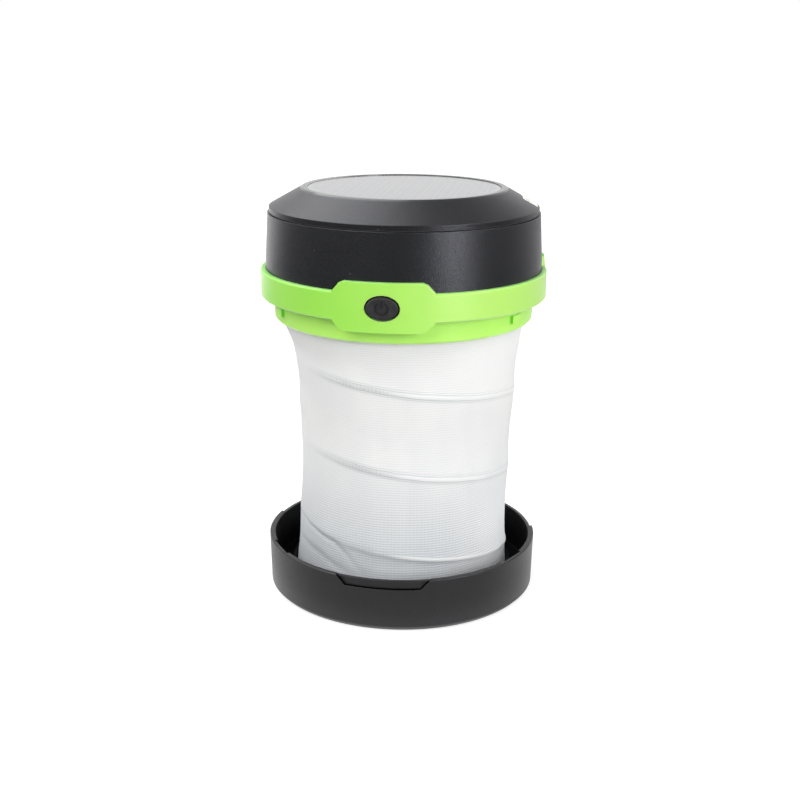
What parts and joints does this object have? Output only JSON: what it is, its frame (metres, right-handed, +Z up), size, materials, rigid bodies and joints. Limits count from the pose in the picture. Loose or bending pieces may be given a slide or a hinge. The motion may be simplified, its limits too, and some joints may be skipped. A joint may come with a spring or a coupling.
{
  "type": "camping lantern",
  "caption": "Collapsible camping lantern: a round head with a solar panel on top slides down over a sprung white fabric shade and closes into a black cup.",
  "frame": {"origin": "on the table under the lantern's axis, at the middle of the foot ring", "axes": "+Z up along the lantern's axis, -Y towards the power button, +X to the right of someone facing the button"},
  "size_m": [0.0904, 0.0909, 0.1312],
  "materials": {
    "black_plastic": "fine satin grain",
    "green_plastic": "satin",
    "fabric": "fine ribbed mesh, lets light through",
    "spring_wire": "white coated wire",
    "white_plastic": "satin",
    "black_rubber": "matte, with a raised power symbol",
    "solar_cell": "dark cells with pale fingers under a clear coat",
    "circuit_board": "solder mask",
    "steel": "plated",
    "lead_insulation": "insulation",
    "cell_wrap": "shrink wrap",
    "led_phosphor": "phosphor",
    "port_plastic": "polished",
    "tongue_plastic": "moulded",
    "switch_plastic": "moulded"
  },
  "bodies": {
    "base": {"base_cup": "black_plastic", "base_plate": "white_plastic", "base_screws": "steel", "shade_fabric": "fabric", "coil_spring": "spring_wire"},
    "head": {"top_bezel": "black_plastic", "body_shell": "black_plastic", "light_deck": "black_plastic", "battery_holder": "black_plastic", "board_chips": "black_plastic", "collar": "green_plastic", "diffuser": "white_plastic", "upper_clamp_ring": "white_plastic", "solar_panel": "solar_cell", "main_board": "circuit_board", "led_board": "circuit_board", "switch_board": "circuit_board", "housing_screws": "steel", "board_screws": "steel", "led_screws": "steel", "battery_contacts": "steel", "charge_socket": "steel", "solar_leads": "lead_insulation", "battery_leads": "lead_insulation", "switch_leads": "lead_insulation", "led_leads": "lead_insulation", "battery_cell": "cell_wrap", "led_chips": "led_phosphor", "port_trim": "port_plastic", "socket_tongue": "tongue_plastic", "switch_body": "switch_plastic"},
    "button": {"power_button": "black_rubber", "switch_plunger": "switch_plastic"}
  },
  "joints": [
    {"name": "collapse", "type": "slide", "parent": "base", "child": "head", "axis": [0, 0, 1], "range_m": [-0.0798, 0], "stiffness_N_per_m": 60, "springref_m": 0.06, "deforming": ["shade_fabric", "coil_spring"]},
    {"name": "button_press", "type": "slide", "parent": "head", "child": "button", "axis": [0, 1, 0], "range_m": [0, 0.0005], "stiffness_N_per_m": 4000, "springref_m": -0.0001}
  ]
}
